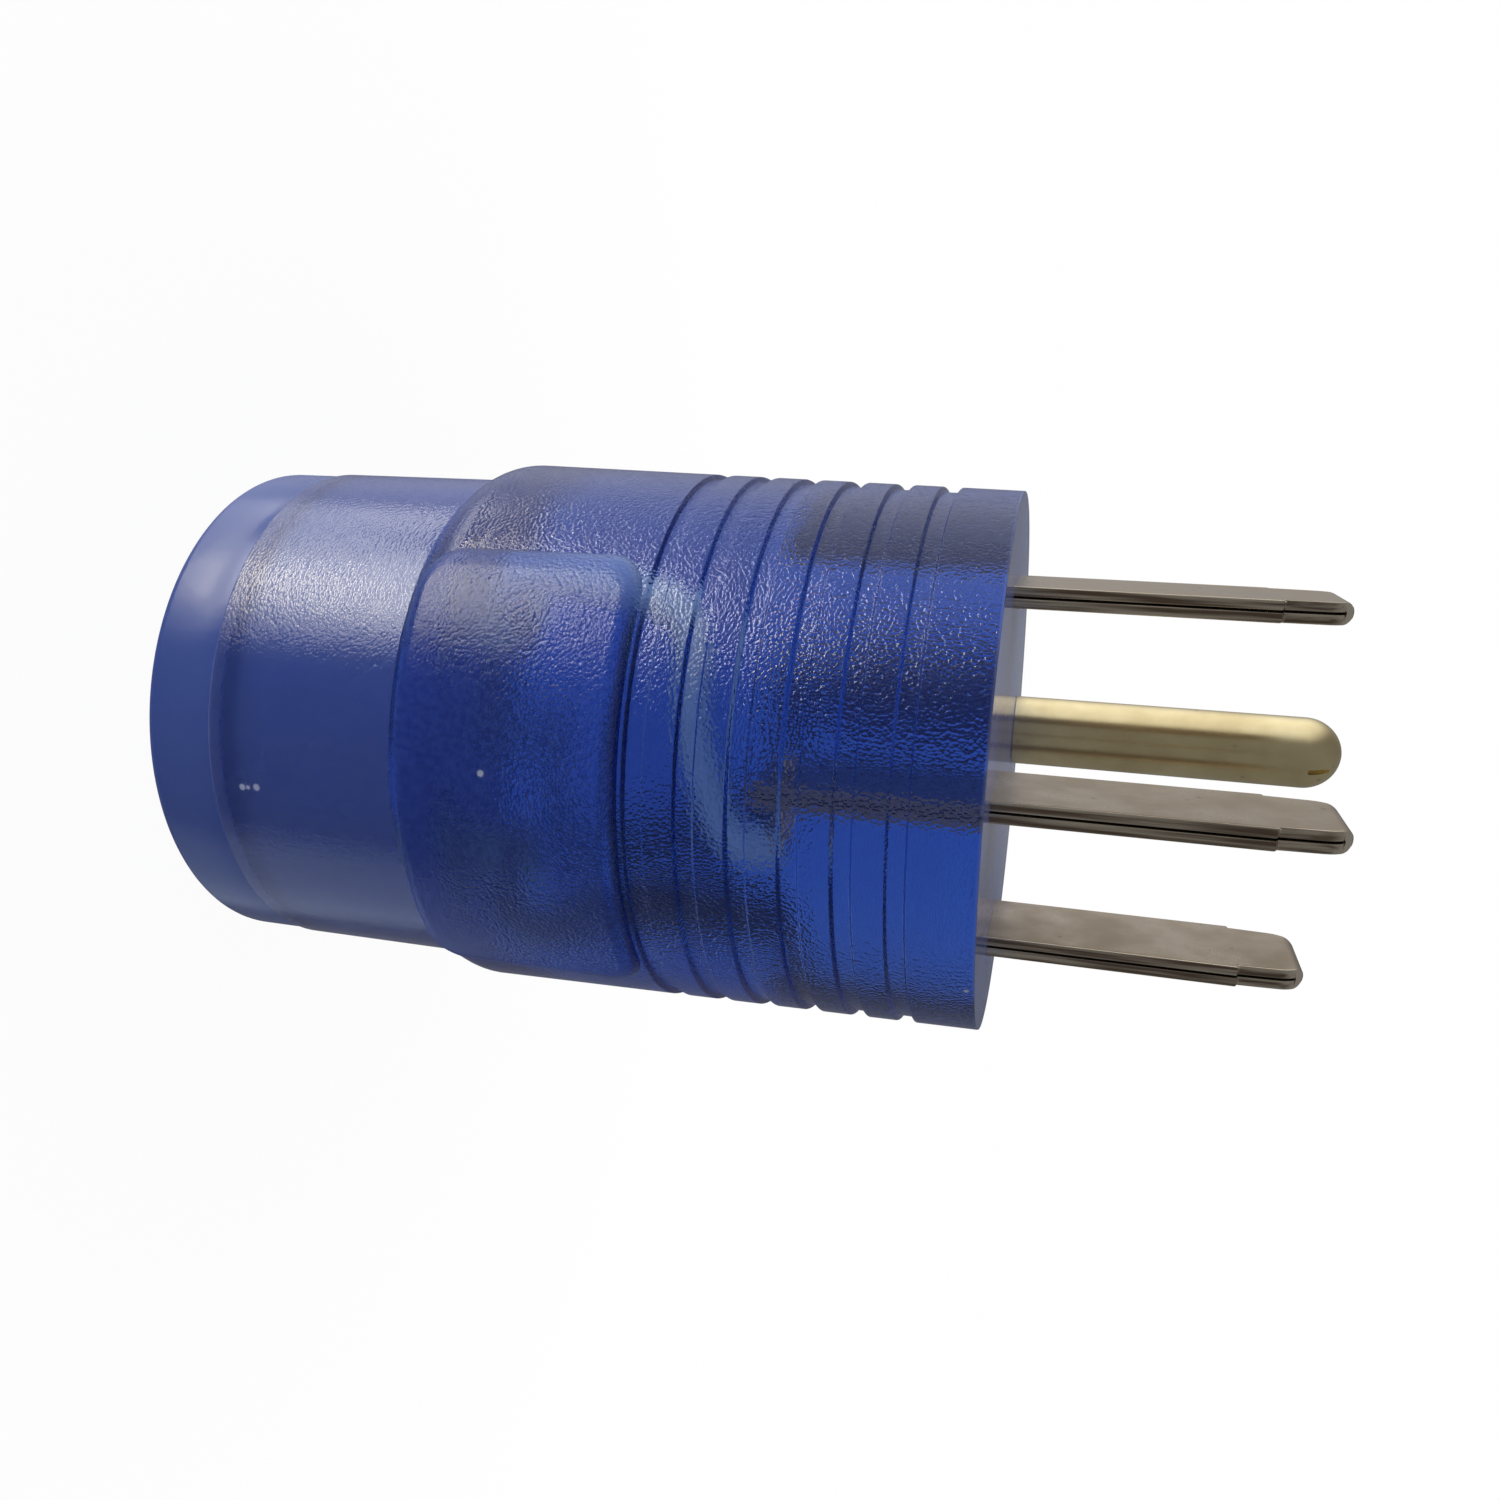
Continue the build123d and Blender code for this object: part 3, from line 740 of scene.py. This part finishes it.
reach = add("ShaderNodeVectorMath", "LENGTH")
satin = add("ShaderNodeMapRange", **pad_band, To_Min=0.09, To_Max=0.19)
tree.links.new(where.outputs["Object"], flat.inputs[0])
tree.links.new(flat.outputs["Vector"], reach.inputs[0])
tree.links.new(reach.outputs["Value"], satin.inputs["Value"])
tree.links.new(satin.outputs["Result"], shader.inputs["Roughness"])
# A paler, hazier band just above the body's bottom edge, over the barrel's chamfer.
pale_band = add("ShaderNodeMapRange", From_Min=pale_band_low, From_Max=pale_band_high,
                 To_Min=pale_band_share, To_Max=0.0)
tree.links.new(place.outputs["Z"], pale_band.inputs["Value"])
wear = pale_band.outputs["Result"]
for mark_place, mark_radius in scuffs:
    mark = add("ShaderNodeVectorMath", "DISTANCE")
    mark.inputs[1].default_value = Vector(mark_place) * mm
    mark_edge = add("ShaderNodeMapRange", From_Min=0.5 * mark_radius * mm, From_Max=mark_radius * mm,
                    To_Min=scuff_share, To_Max=0.0)
    worn = add("ShaderNodeMath", "MAXIMUM")
    tree.links.new(where.outputs["Object"], mark.inputs[0])
    tree.links.new(mark.outputs["Value"], mark_edge.inputs["Value"])
    tree.links.new(mark_edge.outputs["Result"], worn.inputs[0])
    tree.links.new(wear, worn.inputs[1])
    wear = worn.outputs["Value"]
pebble = add("ShaderNodeTexNoise", Scale=2000.0, Detail=1.0, Roughness=0.55)
pebble_share = add("ShaderNodeMapRange", From_Min=0.35, From_Max=0.65, To_Min=0.0, To_Max=1.0)
haze_tone = colour_mix(add, (0.022, 0.064, 0.44), (0.048, 0.112, 0.58))
haze_worn = colour_mix(add, second=(0.62, 0.68, 0.85))
tree.links.new(where.outputs["Object"], pebble.inputs["Vector"])
tree.links.new(pebble.outputs["Fac"], pebble_share.inputs["Value"])
tree.links.new(pebble_share.outputs["Result"], haze_tone.inputs["Factor"])
tree.links.new(haze_tone.outputs["Result"], haze_worn.inputs["A"])
tree.links.new(wear, haze_worn.inputs["Factor"])
haze = add("ShaderNodeBsdfDiffuse")
tree.links.new(bump.outputs["Normal"], haze.inputs["Normal"])
face_part = add("ShaderNodeMapRange", **face_band, To_Min=0.0, To_Max=1.0)
haze_face = colour_mix(add, second=(0.17, 0.21, 0.46))
face_haze = add("ShaderNodeMath", "MULTIPLY_ADD")
face_haze.inputs[1].default_value = face_haze_share
tree.links.new(place.outputs["Z"], face_part.inputs["Value"])
tree.links.new(face_part.outputs["Result"], haze_face.inputs["Factor"])
tree.links.new(face_part.outputs["Result"], face_haze.inputs[0])
tree.links.new(haze_worn.outputs["Result"], haze_face.inputs["A"])
tree.links.new(haze_face.outputs["Result"], haze.inputs["Color"])
pad_haze = add("ShaderNodeMapRange", **pad_band, To_Min=body_haze_share, To_Max=pad_haze_share)
haze_share = add("ShaderNodeMath", "MAXIMUM")
hazy = add("ShaderNodeMixShader")
tree.links.new(reach.outputs["Value"], pad_haze.inputs["Value"])
tree.links.new(pad_haze.outputs["Result"], face_haze.inputs[2])
tree.links.new(face_haze.outputs["Value"], haze_share.inputs[0])
tree.links.new(wear, haze_share.inputs[1])
tree.links.new(haze_share.outputs["Value"], hazy.inputs["Fac"])
tree.links.new(shader.outputs["BSDF"], hazy.inputs[1])
tree.links.new(haze.outputs["BSDF"], hazy.inputs[2])
absorption = add("ShaderNodeVolumeAbsorption", Color=(0.20, 0.46, 0.80, 1), Density=100.0)
light_path = add("ShaderNodeLightPath")
let_through = add("ShaderNodeBsdfTransparent", Color=(0.92, 0.94, 1.0, 1))
lit_inside = add("ShaderNodeMixShader")
material_output = tree.nodes["Material Output"]
tree.links.new(light_path.outputs["Is Shadow Ray"], lit_inside.inputs["Fac"])
tree.links.new(hazy.outputs["Shader"], lit_inside.inputs[1])
tree.links.new(let_through.outputs["BSDF"], lit_inside.inputs[2])
tree.links.new(lit_inside.outputs["Shader"], material_output.inputs["Surface"])
tree.links.new(absorption.outputs["Volume"], material_output.inputs["Volume"])
moulded_body.data.materials.clear()
moulded_body.data.materials.append(clear_blue)
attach(moulded_body, "root")
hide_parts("moulded_body")

# Floor and background: a plain white board just under the socket end, clear from below, in surroundings that
# look white. Reflections show a brighter end of the room above the object in the picture, and a dim rest.
floor_size = 6.0
floor_gap = 0.05 * mm
shadow_reach = {"From_Min": 0.03, "From_Max": 0.16}
room_lights = (
    ((-0.25, -0.95, -0.20), 0.35, 0.95, 0.18, 0.95),
    ((-0.8, -0.6, 0.0), 0.55, 1.0, 0.0, 0.17),
    ((-0.975, 0.22, 0.0), 0.986, 0.9995, 0.0, 0.14),
)
room_light_level = 0.28
bpy.ops.object.select_all(action="DESELECT")
bpy.ops.mesh.primitive_plane_add(size=floor_size, location=(0, 0, -floor_gap))
floor = bpy.context.object
floor.name = "floor_board"
floor_white, tree, shader, add = new_material("floor_white")
shader.inputs["Base Color"].default_value = (0.9, 0.9, 0.9, 1)
shader.inputs["Roughness"].default_value = 0.8
glow = add("ShaderNodeEmission", Color=(1, 1, 1, 1), Strength=1.0)
light_path = add("ShaderNodeLightPath")
where = add("ShaderNodeTexCoord")
reach = add("ShaderNodeVectorMath", "LENGTH")
paper = add("ShaderNodeMapRange", **shadow_reach, To_Min=0.96, To_Max=0.996)
tree.links.new(where.outputs["Object"], reach.inputs[0])
tree.links.new(reach.outputs["Value"], paper.inputs["Value"])
seen = add("ShaderNodeMath", "MULTIPLY")
tree.links.new(paper.outputs["Result"], seen.inputs[1])
board = add("ShaderNodeMixShader")
tree.links.new(light_path.outputs["Is Camera Ray"], seen.inputs[0])
tree.links.new(seen.outputs["Value"], board.inputs["Fac"])
tree.links.new(shader.outputs["BSDF"], board.inputs[1])
tree.links.new(glow.outputs["Emission"], board.inputs[2])
facing = add("ShaderNodeNewGeometry")
unseen = add("ShaderNodeBsdfTransparent", Color=(1, 1, 1, 1))
one_sided = add("ShaderNodeMixShader")
tree.links.new(facing.outputs["Backfacing"], one_sided.inputs["Fac"])
tree.links.new(board.outputs["Shader"], one_sided.inputs[1])
tree.links.new(unseen.outputs["BSDF"], one_sided.inputs[2])
tree.links.new(one_sided.outputs["Shader"], tree.nodes["Material Output"].inputs["Surface"])
floor.data.materials.append(floor_white)
floor.visible_glossy = False
floor.visible_transmission = False
floor.visible_shadow = False

world = bpy.data.worlds.new("white_surroundings")
bpy.context.scene.world = world
world.use_nodes = True
nodes, links = world.node_tree.nodes, world.node_tree.links
background = nodes["Background"]
light_path = nodes.new("ShaderNodeLightPath")
where = nodes.new("ShaderNodeTexCoord")
room = None
for way, near, far, dim, bright in room_lights:
    facing = nodes.new("ShaderNodeVectorMath")
    facing.operation = "DOT_PRODUCT"
    facing.inputs[1].default_value = way
    side = nodes.new("ShaderNodeMapRange")
    side.interpolation_type = "SMOOTHSTEP"
    for socket_name, value in (("From Min", near), ("From Max", far), ("To Min", dim), ("To Max", bright)):
        side.inputs[socket_name].default_value = value
    links.new(where.outputs["Generated"], facing.inputs[0])
    links.new(facing.outputs["Value"], side.inputs["Value"])
    lit = side.outputs["Result"]
    if room:
        total = nodes.new("ShaderNodeMath")
        total.operation = "ADD"
        links.new(room, total.inputs[0])
        links.new(lit, total.inputs[1])
        lit = total.outputs["Value"]
    room = lit
lighting = nodes.new("ShaderNodeMix")
lighting.inputs["B"].default_value = room_light_level
links.new(light_path.outputs["Is Diffuse Ray"], lighting.inputs["Factor"])
links.new(room, lighting.inputs["A"])
shown = nodes.new("ShaderNodeMix")
shown.inputs["B"].default_value = 1.0
through = nodes.new("ShaderNodeMath")
through.operation = "MAXIMUM"
links.new(light_path.outputs["Is Camera Ray"], through.inputs[0])
links.new(light_path.outputs["Is Transmission Ray"], through.inputs[1])
links.new(through.outputs["Value"], shown.inputs["Factor"])
links.new(lighting.outputs["Result"], shown.inputs["A"])
links.new(shown.outputs["Result"], background.inputs["Strength"])
background.inputs["Color"].default_value = (1, 1, 1, 1)

# Lamps: a long window above the object in the picture, with its sill and side, gives the highlight along the
# barrel, pads and rings. The glares show in reflections only: the window's hot panes, and the table below. A
# wide ceiling lamp over the prongs fills the shade, and does not show in reflections.
lamp_aim = Vector((0.018, -0.012, 0.020))
lamp_distance = 0.6
warm_white, cool_white, plain_white = (1.0, 0.96, 0.89), (0.92, 0.95, 1.0), (1.0, 1.0, 1.0)
for lamp_name, way, size, power, colour, lights, shines in (
    ("window_lamp", (0.106, -0.830, -0.538), (0.09, 0.825), 0.85, warm_white, True, True),
    ("window_sill_lamp", (0.106, -0.730, -0.675), (0.10, 0.825), 0.42, cool_white, True, True),
    ("window_side_lamp", (0.33, -0.83, -0.40), (0.11, 0.42), 0.66, warm_white, True, True),
    ("window_end_glare", (0.30, -0.88, -0.345), (0.05, 0.35), 0.70, (1.0, 0.95, 0.85), False, True),
    ("window_pane_glare", (0.301, -0.764, -0.570), (0.10, 0.50), 0.30, (1.0, 0.93, 0.75), False, True),
    ("window_hot_glare", (0.284, -0.757, -0.587), (0.055, 0.22), 0.40, (1.0, 0.92, 0.72), False, True),
    ("table_glare", (0.06, 0.80, -0.55), (0.30, 0.50), 0.32, (0.72, 0.84, 1.0), False, True),
    ("ceiling_lamp", (-0.10, -0.35, 0.90), (0.80, 0.80), 1.4, plain_white, True, False),
):
    light = bpy.data.lights.new(lamp_name, "AREA")
    light.shape = "RECTANGLE"
    light.size, light.size_y = size
    light.energy = power
    light.color = colour
    lamp = bpy.data.objects.new(lamp_name, light)
    bpy.context.scene.collection.objects.link(lamp)
    lamp.location = lamp_aim + lamp_distance * Vector(way).normalized()
    lamp.rotation_mode = "QUATERNION"
    lamp.rotation_quaternion = (lamp_aim - lamp.location).to_track_quat("-Z", "X")
    lamp.visible_camera = False
    lamp.visible_diffuse = lamp.visible_transmission = lights
    lamp.visible_glossy = shines

# Camera: a wide lens held close, where the photograph was taken from, and rolled on its side so that the
# upright part lies along the picture with its prongs to the right.
camera = bpy.data.cameras.new("photo_camera")
camera.sensor_width = 36.0
camera.lens = 30.0
camera.clip_start = 5 * mm
camera.clip_end = 20.0
camera_object = bpy.data.objects.new("photo_camera", camera)
bpy.context.scene.collection.objects.link(camera_object)
camera_right = Vector((-0.2606, -0.0256, 0.9651))
camera_up = Vector((-0.2229, -0.9711, -0.0859))
camera_back = Vector((0.9394, -0.2375, 0.2474))
camera_place = Vector((119.2, -29.0, 83.0)) * mm
camera_turn = Matrix((camera_right, camera_up, camera_back)).transposed()
camera_object.matrix_world = Matrix.Translation(camera_place) @ camera_turn.to_4x4()
bpy.context.scene.camera = camera_object
bpy.context.scene.view_settings.view_transform = "Standard"
